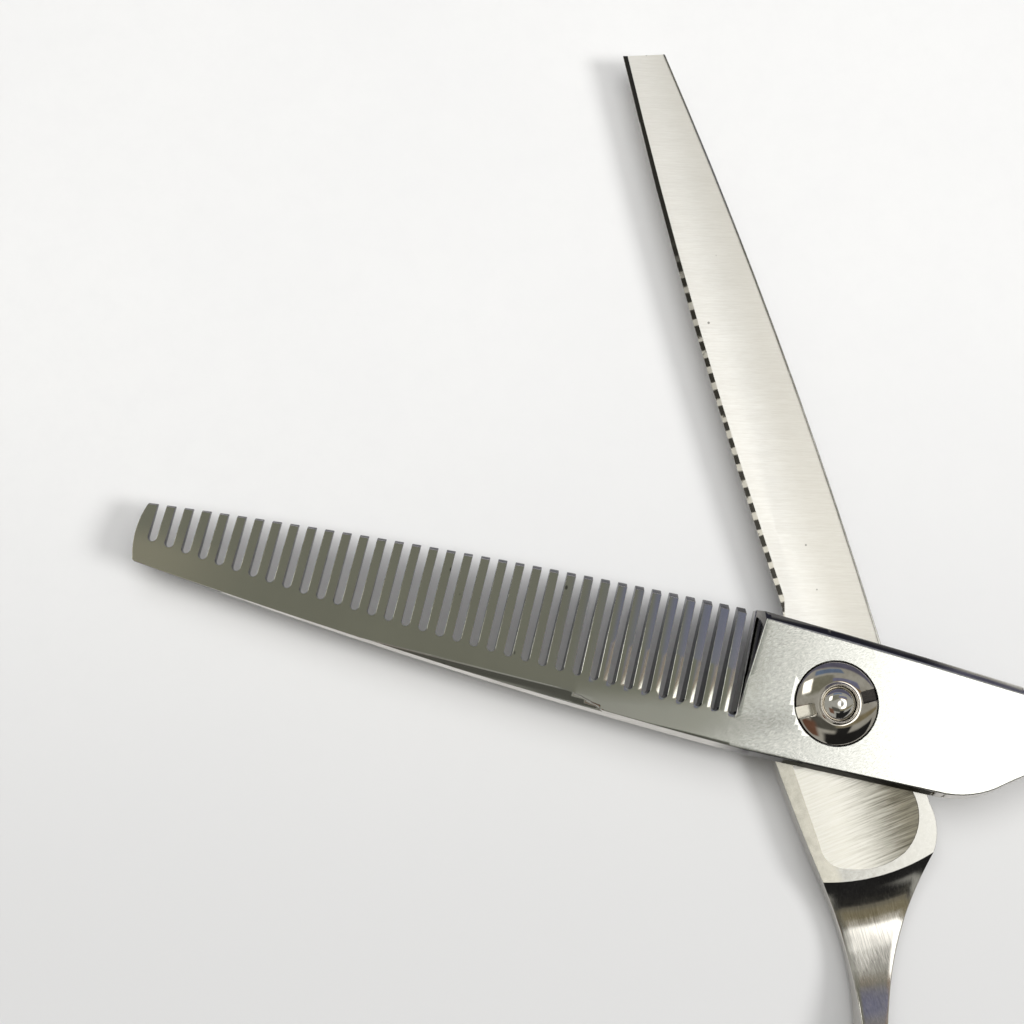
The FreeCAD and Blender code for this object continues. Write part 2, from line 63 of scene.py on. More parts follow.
def make_camera():
    down = PLUMB.normalized()
    world_z = -down
    world_x = (Vector((1, 0, 0)) - world_z.x * world_z).normalized()
    world_y = world_z.cross(world_x)
    right, low, ahead = (Vector((world_x[i], world_y[i], world_z[i])) for i in range(3))
    turn = Matrix([right, -low, -ahead]).transposed().to_4x4()
    turn.translation = CAMERA_AT
    data = bpy.data.cameras.new("camera")
    data.lens = LENS
    data.sensor_width = SENSOR
    data.clip_start = 0.005
    data.clip_end = 20.0
    camera = bpy.data.objects.new("camera", data)
    camera.matrix_world = Matrix.Rotation(VIEW_TURN, 4, "Z") @ turn
    bpy.context.scene.collection.objects.link(camera)
    bpy.context.scene.camera = camera


# ---- Node helpers ----------------------------------------------------------------------
class Tree:
    """Builds a node tree: each method adds a node and returns its output socket."""

    def __init__(self, tree):
        self.tree = tree
        self.nodes = tree.nodes
        self.nodes.clear()

    def put(self, kind, **settings):
        node = self.nodes.new(kind)
        for name, value in settings.items():
            setattr(node, name, value)
        return node

    def link(self, value, socket):
        if isinstance(value, bpy.types.NodeSocket):
            self.tree.links.new(value, socket)
        elif value is not None:
            if hasattr(socket.default_value, "__len__") and not hasattr(value, "__len__"):
                value = (value,) * len(socket.default_value)
            if hasattr(value, "__len__") and len(value) == 3 and len(socket.default_value) == 4:
                value = (*value, 1.0)
            socket.default_value = value

    def math(self, operation, a, b=None):
        node = self.put("ShaderNodeMath", operation=operation)
        for value, socket in zip((a, b), node.inputs):
            self.link(value, socket)
        return node.outputs[0]

    def shares(self, a, share_a, b, share_b):
        """share_a of a plus share_b of b."""
        return self.math("ADD", self.math("MULTIPLY", a, share_a), self.math("MULTIPLY", b, share_b))

    def ramp(self, value, low, high, out_low=0.0, out_high=1.0, kind="LINEAR"):
        """Goes from out_low to out_high as value goes from low to high, and stays there beyond."""
        node = self.put("ShaderNodeMapRange", interpolation_type=kind)
        for v, name in ((value, "Value"), (low, "From Min"), (high, "From Max"),
                        (out_low, "To Min"), (out_high, "To Max")):
            self.link(v, node.inputs[name])
        return node.outputs[0]

    def step(self, *ends):
        """The same, eased at both ends."""
        return self.ramp(*ends, kind="SMOOTHSTEP")

    def mix(self, factor, a, b):
        """Colour a at factor 0, b at factor 1."""
        node = self.put("ShaderNodeMix", data_type="RGBA")
        self.link(factor, node.inputs[0])
        self.link(a, node.inputs[6])
        self.link(b, node.inputs[7])
        return node.outputs[2]

    def split(self, vector):
        node = self.put("ShaderNodeSeparateXYZ")
        self.link(vector, node.inputs[0])
        return node.outputs[0], node.outputs[1], node.outputs[2]

    def join(self, x, y, z=0.0):
        node = self.put("ShaderNodeCombineXYZ")
        for value, socket in zip((x, y, z), node.inputs):
            self.link(value, socket)
        return node.outputs[0]

    def place(self, vector, scale=(1, 1, 1), turn=0.0):
        """Turns about Z, then scales."""
        node = self.put("ShaderNodeMapping")
        self.link(vector, node.inputs["Vector"])
        node.inputs["Rotation"].default_value = (0, 0, turn)
        turned = node.outputs[0]
        node = self.put("ShaderNodeMapping")
        self.link(turned, node.inputs["Vector"])
        node.inputs["Scale"].default_value = scale
        return node.outputs[0]

    def noise(self, vector, scale, detail=2.0, rough=0.5):
        node = self.put("ShaderNodeTexNoise")
        self.link(vector, node.inputs["Vector"])
        node.inputs["Scale"].default_value = scale
        node.inputs["Detail"].default_value = detail
        node.inputs["Roughness"].default_value = rough
        return node.outputs["Fac"]

    def spots(self, vector, scale):
        node = self.put("ShaderNodeTexVoronoi")
        self.link(vector, node.inputs["Vector"])
        node.inputs["Scale"].default_value = scale
        return node.outputs["Distance"]

    def bump(self, height, distance, strength=1.0, normal=None):
        node = self.put("ShaderNodeBump")
        self.link(height, node.inputs["Height"])
        node.inputs["Distance"].default_value = distance
        node.inputs["Strength"].default_value = strength
        if normal is not None:
            self.link(normal, node.inputs["Normal"])
        return node.outputs[0]


class Surface(Tree):
    """A principled material. at is the point in millimetres, in the arm's frame if it has one."""

    def __init__(self, name, arm=None):
        material = bpy.data.materials.new(name)
        material.use_nodes = True
        super().__init__(material.node_tree)
        self.material = material
        self.shader = self.put("ShaderNodeBsdfPrincipled")
        out = self.put("ShaderNodeOutputMaterial")
        self.link(self.shader.outputs[0], out.inputs[0])
        point = self.put("ShaderNodeTexCoord").outputs["Object"]
        turn = -OPEN_ANGLE if arm == "comb" else 0.0
        flip = -1.0 if arm == "straight" else 1.0
        self.at = self.place(point, scale=(flip / MM, 1 / MM, 1 / MM), turn=turn)
        self.x, self.y, self.z = self.split(self.at)

    def set(self, **values):
        names = {"colour": "Base Color", "metal": "Metallic", "rough": "Roughness", "normal": "Normal",
                 "aniso": "Anisotropic", "specular": "Specular IOR Level"}
        for key, value in values.items():
            self.link(value, self.shader.inputs[names[key]])
        return self.material


NUT_TURN = radians(-2.5)     # of the nut's notches, from +X
HOLLOW_MIDDLE = 1.9          # the hollow's deepest line, from the arm's centre line towards the spine
HOLLOW_BEND = 0.011          # millimetres of rise for each square millimetre across


# ---- Materials -------------------------------------------------------------------------
def brushed_face():
    """The straight blade's ride face: hollow ground crosswise, so fine lines run from edge to spine; painted
    shade darkens it towards the spine and towards the tip.
    """
    s = Surface("straight_ride_ground", "straight")
    lean = radians(-16.0)
    lines = s.noise(s.place(s.at, (0.35, 5.5, 0.0), lean), 1.0, 4.0, 0.65)
    fine = s.noise(s.place(s.at, (1.1, 18.0, 0.0), lean), 1.0, 2.0, 0.6)
    broad = s.noise(s.place(s.at, (0.05, 0.9, 0.0), lean), 1.0, 3.0, 0.6)
    cloud = s.noise(s.at, 0.16, 3.0, 0.55)
    grain = s.shares(lines, 0.6, fine, 0.4)
    tint = s.mix(s.step(grain, 0.32, 0.68), (0.86, 0.84, 0.78), (1.0, 0.99, 0.94))
    patch = s.shares(broad, 0.6, cloud, 0.4)
    tint = s.mix(s.step(patch, 0.35, 0.65), s.mix(0.09, tint, (0.42, 0.40, 0.36)), tint)
    pit = s.step(s.spots(s.at, 0.33), 0.030, 0.055)
    tint = s.mix(pit, (0.25, 0.24, 0.22), tint)
    rough = s.ramp(lines, 0.3, 0.7, 0.36, 0.48)
    height = s.math("ADD", grain, s.math("MULTIPLY", pit, 0.5))
    across = s.math("ADD", s.x, HOLLOW_MIDDLE)
    hollow = s.math("MULTIPLY", s.math("MULTIPLY", across, across), HOLLOW_BEND)
    normal = s.bump(hollow, MM, 1.0)
    normal = s.bump(height, 0.006 * MM, 0.9, normal)
    around = s.put("ShaderNodeTangent", direction_type="RADIAL", axis="Z").outputs[0]
    s.link(around, s.shader.inputs["Tangent"])
    s.shader.inputs["Anisotropic Rotation"].default_value = 0.25
    # painted shade: the face is darker towards its spine and towards its tip
    from_spine = s.step(s.x, -4.8, -0.2)
    tint = s.mix(from_spine, s.mix(0.38, tint, (0.58, 0.54, 0.45)), tint)
    to_tip = s.step(s.y, 26.0, 72.0, 0.0, 0.48)
    tint = s.mix(to_tip, tint, (0.56, 0.54, 0.49))
    return s.set(colour=tint, metal=0.34, rough=rough, normal=normal, aniso=0.7)


def hone_strip():
    """Polished strip along the straight blade's edge, with bright wear where the teeth pass; its near-black
    steel is painted shade for the dark that the bevel mirrors.
    """
    s = Surface("straight_hone_polished", "straight")
    phase = s.math("FRACT", s.math("DIVIDE", s.y, TOOTH_PITCH / MM))
    jitter = s.noise(s.place(s.at, (0.2, 0.9, 0.0)), 1.0, 2.0)
    phase = s.math("ADD", phase, s.math("MULTIPLY", s.math("SUBTRACT", jitter, 0.5), 0.35))
    spot = s.math("MULTIPLY", s.step(phase, 0.25, 0.36), s.step(phase, 0.66, 0.78, 1.0, 0.0))
    used = s.step(s.y, 52.0, 44.0)
    spot = s.math("MULTIPLY", spot, used)
    wear_and_lit = s.step(s.noise(s.at, 0.9, 2.0), 0.30, 0.5)
    spot = s.math("MULTIPLY", spot, wear_and_lit)
    streak = s.noise(s.place(s.at, (9.0, 0.5, 0.0)), 1.0, 3.0)
    # painted shade: near-black steel standing in for the dark that the strip mirrors
    dark = s.mix(streak, (0.06, 0.055, 0.05), (0.13, 0.125, 0.11))
    tint = s.mix(spot, dark, (0.86, 0.83, 0.74))
    rough = s.ramp(spot, 0.0, 1.0, 0.16, 0.34)
    return s.set(colour=tint, metal=1.0, rough=rough, normal=s.bump(streak, 0.002 * MM, 0.6))


def heel_pocket():
    """The hollow behind the pivot: coarse crosswise lines, bright at the edge, with painted shade making it
    dark towards the spine.
    """
    s = Surface("straight_pocket_ground", "straight")
    lean = radians(5.0)
    lines = s.noise(s.place(s.at, (0.16, 4.2, 0.0), lean), 1.0, 5.0, 0.7)
    fine = s.noise(s.place(s.at, (0.5, 14.0, 0.0), lean), 1.0, 3.0, 0.65)
    grain = s.shares(lines, 0.65, fine, 0.35)
    across = s.math("ADD", s.x, s.math("MULTIPLY", s.math("SUBTRACT", lines, 0.5), 7.0))
    # painted shade: the pocket turns dark towards the spine
    spine_shade = s.step(across, 2.6, -4.6)
    bright = s.mix(s.step(grain, 0.30, 0.66), (0.74, 0.72, 0.64), (0.97, 0.96, 0.91))
    shaded_tint = s.mix(s.step(grain, 0.34, 0.64), (0.07, 0.065, 0.05), (0.30, 0.28, 0.22))
    tint = s.mix(spine_shade, bright, shaded_tint)
    rough = s.ramp(grain, 0.3, 0.7, 0.26, 0.38)
    return s.set(colour=tint, metal=1.0, rough=rough, normal=s.bump(grain, 0.008 * MM, 0.9))


def heel_land():
    """Border of the ride face behind the pivot: lapped bright, greyer along the edge side."""
    s = Surface("straight_heel_land", "straight")
    mottle = s.noise(s.at, 1.3, 4.0, 0.6)
    lines = s.noise(s.place(s.at, (0.8, 7.0, 0.0), radians(-14)), 1.0, 3.0, 0.6)
    tint = s.mix(s.step(mottle, 0.35, 0.7), (0.42, 0.415, 0.39), (0.54, 0.535, 0.51))
    beige = s.mix(s.step(mottle, 0.30, 0.75), (0.54, 0.52, 0.46), (0.62, 0.60, 0.53))
    tint = s.mix(s.step(s.x, 3.4, 4.4), tint, beige)
    rough = s.ramp(mottle, 0.3, 0.7, 0.14, 0.26)
    return s.set(colour=tint, metal=1.0, rough=rough, normal=s.bump(lines, 0.0025 * MM, 0.7))


# Dark and light colour and the range of roughness of each polish, and the way its lines run.
FORGED = ((0.50, 0.48, 0.45), (0.74, 0.72, 0.68), (0.07, 0.16))
CAST = ((0.60, 0.58, 0.55), (0.76, 0.74, 0.71), (0.08, 0.18))
# the slot walls' near-black colours are painted shade, standing in for the shade between the teeth
SHADED_SLOT = ((0.03, 0.03, 0.035), (0.09, 0.09, 0.105), (0.20, 0.30))
LENGTHWISE = (7.0, 0.25, 7.0)
CROSSWISE = (0.25, 7.0, 7.0)


def finish(s, low, high, rough, scale=LENGTHWISE):
    """Colour, roughness and normal of polished steel with faint lines and smears."""
    lines = s.noise(s.place(s.at, scale), 1.0, 4.0, 0.6)
    smear = s.noise(s.at, 0.22, 3.0, 0.6)
    both = s.shares(lines, 0.5, smear, 0.5)
    tint = s.mix(s.step(both, 0.3, 0.7), low, high)
    return tint, s.ramp(both, 0.3, 0.7, *rough), s.bump(lines, 0.003 * MM, 0.7)


def polished(name, arm, *look):
    s = Surface(name, arm)
    tint, gloss, normal = finish(s, *look)
    return s.set(colour=tint, metal=1.0, rough=gloss, normal=normal)


def comb_side():
    """The comb's bevels and sides: polished, with painted shade darkening them beside the pivot."""
    s = Surface("comb_side_polished", "comb")
    tint, gloss, normal = finish(s, *FORGED)
    # painted shade: dark beside the pivot, for the shadowed gap between the two arms
    painted_shade = s.math("MULTIPLY", s.step(s.y, -13.0, -8.0), s.step(s.y, 12.0, 8.0))
    tint = s.mix(s.math("MULTIPLY", painted_shade, 0.86), tint, (0.03, 0.03, 0.035))
    return s.set(colour=tint, metal=1.0, rough=gloss, normal=normal)


def comb_outside():
    """The comb's outer face: like a mirror over the teeth, satin with fine scratches round the pivot. A
    painted highlight brightens it near the tip on the spine side, and painted shade gives it a grey-green
    tint towards the pivot.
    """
    s = Surface("comb_face_polished", "comb")
    streak = s.noise(s.place(s.at, (5.0, 0.22, 0.0), radians(4)), 1.0, 4.0, 0.6)
    cloud = s.noise(s.at, 0.14, 3.0, 0.6)
    # painted highlight: brighter and creamier near the tip on the spine side
    tip = s.math("MULTIPLY", s.step(s.y, 58.0, 72.0), s.step(s.x, 1.0, -2.0))
    mirror = s.mix(cloud, (0.52, 0.52, 0.48), (0.64, 0.64, 0.59))
    # painted shade: a grey-green tint towards the pivot that tones down its brightness
    mirror = s.mix(s.math("MULTIPLY", s.step(s.y, 30.0, 12.0), 0.6), mirror, (0.62, 0.63, 0.56))
    mirror = s.mix(tip, mirror, (0.80, 0.77, 0.68))
    nick = s.step(s.spots(s.place(s.at, (0.55, 0.9, 0.0)), 0.42), 0.035, 0.07)
    mirror = s.mix(nick, (0.16, 0.16, 0.15), mirror)
    bend = s.noise(s.at, 0.16, 2.0)
    u = s.math("ADD", s.x, s.math("MULTIPLY", bend, 3.5))
    v = s.math("ADD", s.y, s.math("MULTIPLY", bend, -3.0))
    scratch = s.noise(s.join(s.math("MULTIPLY", u, 11.0), s.math("MULTIPLY", v, 2.2)), 1.0, 4.0, 0.7)
    fine = s.noise(s.place(s.at, (2.2, 16.0, 0.0), radians(35)), 1.0, 3.0, 0.6)
    wear = s.shares(scratch, 0.5, fine, 0.5)
    satin = s.mix(s.step(wear, 0.36, 0.66), (0.52, 0.53, 0.50), (0.86, 0.86, 0.83))
    satin = s.mix(s.step(cloud, 0.3, 0.7, 0.0, 0.25), satin, (0.56, 0.57, 0.54))
    near = s.math("ADD", s.y, s.math("MULTIPLY", s.math("SUBTRACT", cloud, 0.5), 9.0))
    near = s.step(near, 15.0, 6.5)
    gloss = s.math("ADD", s.ramp(near, 0.0, 1.0, 0.10, 0.16), s.math("MULTIPLY", wear, 0.06))
    smooth = s.bump(streak, 0.0012 * MM, 0.6)
    normal = s.bump(s.math("MULTIPLY", wear, near), 0.0022 * MM, 0.6, smooth)
    return s.set(colour=s.mix(near, mirror, satin), metal=1.0, rough=gloss, normal=normal)


RING_DENSITY = 9.0           # of the rings that a lathe leaves


def turned(name, low, high, rough):
    """Steel turned on a lathe about the pivot: faint rings."""
    s = Surface(name)
    radius = s.math("SQRT", s.math("ADD", s.math("MULTIPLY", s.x, s.x), s.math("MULTIPLY", s.y, s.y)))
    outwards, upwards = s.math("MULTIPLY", radius, RING_DENSITY), s.math("MULTIPLY", s.z, RING_DENSITY)
    rings = s.noise(s.join(outwards, 0.0, upwards), 1.0, 3.0, 0.6)
    smear = s.noise(s.at, 0.8, 3.0, 0.6)
    tint = s.mix(s.step(smear, 0.3, 0.7), low, high)
    gloss = s.ramp(smear, 0.3, 0.7, *rough)
    return s.set(colour=tint, metal=1.0, rough=gloss, normal=s.bump(rings, 0.0012 * MM, 0.5))


def notch_floor():
    """Milled floor of the nut's two notches, in lit and shaded copies: painted light makes one side bright,
    painted shade makes the other dark.
    """
    s = Surface("nut_notch_milled")
    marks = s.noise(s.place(s.at, (1.5, 14.0, 0.0), NUT_TURN), 1.0, 3.0, 0.6)
    wear_and_lit = s.mix(marks, (0.62, 0.58, 0.48), (0.92, 0.90, 0.82))
    painted_shade = s.mix(marks, (0.015, 0.015, 0.015), (0.06, 0.055, 0.05))
    # painted light and shade: one notch's floor is a lit copy, the other a shaded copy
    tint = s.mix(s.step(s.x, -0.5, 0.5), wear_and_lit, painted_shade)
    return s.set(colour=tint, metal=1.0, rough=0.3, normal=s.bump(marks, 0.004 * MM))


def rubber(arm):
    """Dark moulded rubber with a fine grain and some dust."""
    s = Surface(arm + "_rubber_moulded", arm)
    grain = s.noise(s.at, 6.0, 3.0, 0.6)
    dust = s.noise(s.at, 0.5, 4.0, 0.6)
    tint = s.mix(s.step(dust, 0.45, 0.75), (0.018, 0.018, 0.020), (0.045, 0.045, 0.048))
    rough = s.ramp(grain, 0.3, 0.7, 0.42, 0.62)
    return s.set(colour=tint, rough=rough, specular=0.45, normal=s.bump(grain, 0.02 * MM, 0.5))


def nylon():
    """Off-white bearing plastic, slightly mottled."""
    s = Surface("bearing_nylon")
    grain = s.noise(s.at, 4.0, 3.0, 0.6)
    tint = s.mix(grain, (0.60, 0.57, 0.48), (0.74, 0.71, 0.62))
    rough = s.ramp(grain, 0.3, 0.7, 0.35, 0.5)
    return s.set(colour=tint, rough=rough, normal=s.bump(grain, 0.01 * MM, 0.4))


def paper():
    """The pale table, with painted shade making it greyer towards the bottom of the view."""
    s = Surface("table_paper")
    cloud = s.noise(s.at, 0.012, 4.0, 0.6)
    fibre = s.noise(s.at, 0.35, 5.0, 0.7)
    tint = s.mix(s.step(cloud, 0.3, 0.7), (0.800, 0.800, 0.805), (0.835, 0.835, 0.835))
    tint = s.mix(s.step(fibre, 0.35, 0.75, 0.0, 0.35), tint, (0.785, 0.785, 0.79))
    up, aside = cos(VIEW_TURN), -sin(VIEW_TURN)
    upwards = s.math("ADD", s.math("MULTIPLY", s.y, up), s.math("MULTIPLY", s.x, aside))
    # painted shade: greyer towards the bottom of the view
    tint = s.mix(s.step(upwards, 50.0, -36.0), tint, (0.670, 0.670, 0.675))
    return s.set(colour=tint, rough=0.8, specular=0.2, normal=s.bump(fibre, 0.05 * MM, 0.25))


# ---- Mesh helpers ----------------------------------------------------------------------
# Meshes are made in millimetres: an arm's in its arm's frame, as the CAD builds it, with the
# pivot at the origin, +Y to the tip, +X on the cutting side and +Z outwards; all others in the
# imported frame.
ARMS = {
    "comb": Matrix.Rotation(OPEN_ANGLE, 4, "Z") @ Matrix.Translation((0, 0, COMB_RIDE_Z / MM)),
    "straight": Matrix.Translation((0, 0, RIDE_Z / MM)) @ Matrix.Rotation(pi, 4, "Y"),
    None: Matrix.Identity(4),
}
TO_METRES = Matrix.Scale(MM, 4)
SHARP = radians(14.0)        # edges that bend more than this are rounded
ROUND_SEGMENTS = 2
SHALLOW_STEP = 0.12          # height of a step too shallow to round
FLAT_BEND = 0.004            # radians: faces that bend less are run into one


def add_object(mesh, name):
    obj = bpy.data.objects.new(name, mesh)
    bpy.context.scene.collection.objects.link(obj)
    return obj


def mesh_of(bm, name):
    mesh = bpy.data.meshes.new(name)
    bm.to_mesh(mesh)
    bm.free()
    return mesh


def bmesh_of(mesh):
    bm = bmesh.new()
    bm.from_mesh(mesh)
    bpy.data.meshes.remove(mesh)
    return bm


def evaluated_mesh(obj, name):
    """The object's mesh with its modifiers applied; the object goes."""
    graph = bpy.context.evaluated_depsgraph_get()
    mesh = bpy.data.meshes.new_from_object(obj.evaluated_get(graph), depsgraph=graph)
    bpy.data.objects.remove(obj)
    mesh.name = name
    return mesh


def weld(bm, dist=2e-4):
    bmesh.ops.remove_doubles(bm, verts=bm.verts, dist=dist)
    bmesh.ops.dissolve_degenerate(bm, edges=bm.edges, dist=dist / 2)


def cad_copy(arm, *nodes):
    """The meshes of these CAD nodes as one bmesh, in the arm's frame and millimetres."""
    bm = bmesh.new()
    for node in nodes:
        bm.from_mesh(NODES[node].data)
    bm.transform(ARMS[arm].inverted() @ TO_METRES.inverted())
    weld(bm)
    return bm


def step_wall(face):
    """True for the upright side of a step too shallow to round."""
    heights = [vert.co.z for vert in face.verts]
    return abs(face.normal.z) < 0.5 and max(heights) - min(heights) < SHALLOW_STEP


def rounded(name, bm, width_of):
    """Rounds each sharp edge by width_of(its middle): not where that is 0 or beside a shallow step."""
    layer = bm.edges.layers.float.new("bevel_weight_edge")
    for edge in bm.edges:
        sharp = edge.is_manifold and edge.calc_face_angle(0.0) > SHARP
        if sharp and not any(step_wall(face) for face in edge.link_faces):
            edge[layer] = width_of((edge.verts[0].co + edge.verts[1].co) / 2)
    obj = add_object(mesh_of(bm, name), name)
    bevel = obj.modifiers.new("round", "BEVEL")
    bevel.width = 1.0
    bevel.limit_method = "WEIGHT"
    bevel.segments = ROUND_SEGMENTS
    bevel.use_clamp_overlap = False
    bevel.loop_slide = True
    return bmesh_of(evaluated_mesh(obj, name))


def cut_away(bm, *cutters):
    """bm less the cutters."""
    obj = add_object(mesh_of(bm, "body"), "body")
    tools = [add_object(mesh_of(cutter, "tool"), "tool") for cutter in cutters]
    for tool in tools:
        cut = obj.modifiers.new("cut", "BOOLEAN")
        cut.operation = "DIFFERENCE"
        cut.solver = "EXACT"
        cut.object = tool
    mesh = evaluated_mesh(obj, "body")
    for tool in tools:
        bpy.data.objects.remove(tool)
    result = bmesh_of(mesh)
    weld(result)
    return result


def cut_plane(bm, at, normal):
    """Removes what lies beyond a plane, and caps the cut."""
    ends = bmesh.ops.bisect_plane(bm, geom=bm.verts[:] + bm.edges[:] + bm.faces[:], dist=1e-5,
                                  plane_co=at, plane_no=normal, clear_outer=True)
    rim = [part for part in ends["geom_cut"] if isinstance(part, bmesh.types.BMEdge)]
    bmesh.ops.holes_fill(bm, edges=rim, sides=0)
    bmesh.ops.recalc_face_normals(bm, faces=bm.faces)


def joined(*parts):
    whole = bmesh.new()
    for part in parts:
        whole.from_mesh(mesh_of(part, "part"))
    return whole


def piece(name, bm, arm, materials, choose=None, angle=32.0, weighted=True):
    """Shades, paints and places a finished mesh. choose(centre, normal) gives a face's material index."""
    indices = [choose(face.calc_center_median(), face.normal) if choose else 0 for face in bm.faces]
    bm.transform(TO_METRES @ ARMS[arm])
    mesh = mesh_of(bm, name)
    mesh.polygons.foreach_set("use_smooth", [True] * len(mesh.polygons))
    mesh.set_sharp_from_angle(angle=radians(angle))
    if weighted:
        obj = add_object(mesh, name)
        flat = obj.modifiers.new("flat", "WEIGHTED_NORMAL")
        flat.keep_sharp = True
        flat.weight = 80
        mesh = evaluated_mesh(obj, name)
    mesh.materials.clear()
    for material in materials:
        mesh.materials.append(material)
    mesh.polygons.foreach_set("material_index", indices)
    return add_object(mesh, name)


def skin(rings):
    """Closed surface through a list of closed rings with the same number of points."""
    bm = bmesh.new()
    rows = [[bm.verts.new(p) for p in ring] for ring in rings]
    count = len(rows[0])
    for low, high in zip(rows, rows[1:]):
        for i in range(count):
            j = (i + 1) % count
            bm.faces.new((low[i], low[j], high[j], high[i]))
    bm.faces.new(rows[0])
    bm.faces.new(rows[-1])
    bmesh.ops.recalc_face_normals(bm, faces=bm.faces)
    return bm


def lathe(outline, segments):
    """Turns a closed loop of (radius, z) points about Z. Points on the axis close the ends."""
    bm = bmesh.new()
    rings = []
    for r, z in outline:
        count = segments if r > 1e-6 else 1
        turns = [2 * pi * i / segments for i in range(count)]
        rings.append([bm.verts.new((r * cos(t), r * sin(t), z)) for t in turns])
    for low, high in zip(rings, rings[1:] + rings[:1]):
        for i in range(segments):
            j = (i + 1) % segments
            corners = [low[i % len(low)], low[j % len(low)], high[j % len(high)], high[i % len(high)]]
            corners = list(dict.fromkeys(corners))
            if len(corners) > 2:
                bm.faces.new(corners)
    bmesh.ops.recalc_face_normals(bm, faces=bm.faces)
    return bm


def bend_through(a, b, c, count):
    """Points of the arc from a through b to c."""
    (x1, y1), (x2, y2), (x3, y3) = a, b, c
    d = 2 * (x1 * (y2 - y3) + x2 * (y3 - y1) + x3 * (y1 - y2))
    s1, s2, s3 = x1 * x1 + y1 * y1, x2 * x2 + y2 * y2, x3 * x3 + y3 * y3
    ox = (s1 * (y2 - y3) + s2 * (y3 - y1) + s3 * (y1 - y2)) / d
    oy = (s1 * (x3 - x2) + s2 * (x1 - x3) + s3 * (x2 - x1)) / d
    r = hypot(x1 - ox, y1 - oy)
    t1, t2, t3 = (atan2(y - oy, x - ox) for x, y in (a, b, c))
    sweep = (t3 - t1) % (2 * pi)
    if (t2 - t1) % (2 * pi) > sweep:
        sweep -= 2 * pi
    turns = [t1 + sweep * i / count for i in range(count + 1)]
    return [(ox + r * cos(t), oy + r * sin(t)) for t in turns]


def rounded_loop(points, radii):
    """A closed loop with each corner eased to about the radius given for it."""
    steps = 4
    loop = []
    count = len(points)
    for i, (point, r) in enumerate(zip(points, radii)):
        p = Vector(point)
        before, after = Vector(points[i - 1]) - p, Vector(points[(i + 1) % count]) - p
        turn = before.angle(after)
        reach = min(r / sin(turn / 2) * cos(turn / 2), 0.45 * before.length, 0.45 * after.length)
        start, end = p + before.normalized() * reach, p + after.normalized() * reach
        for k in range(steps + 1):
            t = k / steps
            loop.append(tuple(start.lerp(p, t).lerp(p.lerp(end, t), t)))
    return loop


def box_tool(size, centre, turn=0.0):
    """Box for cutting, turned about Z after it is placed."""
    bm = bmesh.new()
    bmesh.ops.create_cube(bm, size=1.0)
    bmesh.ops.scale(bm, vec=size, verts=bm.verts)
    bmesh.ops.translate(bm, vec=centre, verts=bm.verts)
    bmesh.ops.rotate(bm, cent=(0, 0, 0), matrix=Matrix.Rotation(turn, 3, "Z"), verts=bm.verts)
    return bm


# ---- Arms ------------------------------------------------------------------------------
# In millimetres, in the arm's frame.
CRISP = 0.05                 # widths of the roundings
EASED = 0.14
RIDE_EDGE = 0.06             # rounding of a bar's ride side where it leaves the heel
SHANK_ROUND = 0.95           # rounding of a bar's outside further back
BLOCK_FRONT_Y = 9.62         # the foot of the comb's shoulder
BLOCK_Z = 3.10               # top of the comb's block, and the sloping face in front of it
FACE_Z = 2.55
FACE_ACROSS = 0.160
FACE_ALONG = 0.0253
COUNTERBORE_REACH = 4.6      # from the pivot: the nut's counterbore and its rim lie within this
BLEND_REACH = 0.50           # heights apart over which the two run together
BLEND_BACK, BLEND_FRONT = 2.0, 26.5
BLEND_SPINE, BLEND_EDGE = -7.6, 1.0
BLEND_STEP = 0.45
BLEND_SIDE = 0.50            # depth over which the sides below the top follow it down
BLEND_FLOOR = 1.9            # nothing below this height is moved
BEVEL_LOW = 1.2              # and no bevel below this one is cut
FACING = 0.85                # least z of the normal of a face that looks outwards
TILTED = 0.15                # and of a bevel beside it
FACE_LOW, BLOCK_LOW = 1.4, 2.9           # least heights of the sloping face and the block's top
SLOT_FOOT_X = -4.2           # the slots reach no further towards the spine
HONE_END = 9.0               # where the edge's polished strip begins
HONE_X = -1.0                # it stays on the cutting side of this
RIDE_LOW, RIDE_HIGH = 0.04, 0.2          # the ride face's hollow rises between these, its border less
POCKET_Y = -5.6              # behind this, the ride face's hollow has coarser lines
HEEL = Vector((-0.6, 3.3))   # centre of the arc that ends the ride face
HEEL_R = 21.4
WELD = -36.0                 # each blade meets its handle here
EDGE_CLEAR = 0.03            # rays that feel for the bar's height keep this far inside its sides
LOFT_END = 54.5              # distance from the heel's centre where the bar nears its ring
LOFT_FINE, LOFT_COARSE = 0.22, 0.5       # between the bar's sections: beside the heel, and further back
FINE_STRETCH = 4.0
SPREAD = 5.0                 # stretch over which a bar's roundings grow to their full size
HALF_SEARCH = 14.0           # a bar's sides lie within this of its middle
ABOVE = 30.0                 # height that clears the arm
VOXEL = 0.24                 # of the mesh that runs bar and ring together
RELAX_TIMES = 12
RING_SIDE = -50.0            # behind this, the CAD handle's own shape is used
# Where each arm's bar begins behind its heel, its rounding on the ride side, and outside at first.
SHANKS = {"comb": (27.0, 0.5, 0.35), "straight": (HEEL_R, 0.22, 1.0)}


def eased(t):
    """0 to 1 as t goes from 0 to 1, level at both ends."""
    t = min(max(t, 0.0), 1.0)
    return t * t * (3 - 2 * t)


def beyond_heel(angle, distance):
    """Point at a distance from the heel's centre, the angle counted from straight behind it."""
    return Vector((HEEL.x + distance * sin(angle), HEEL.y - distance * cos(angle)))


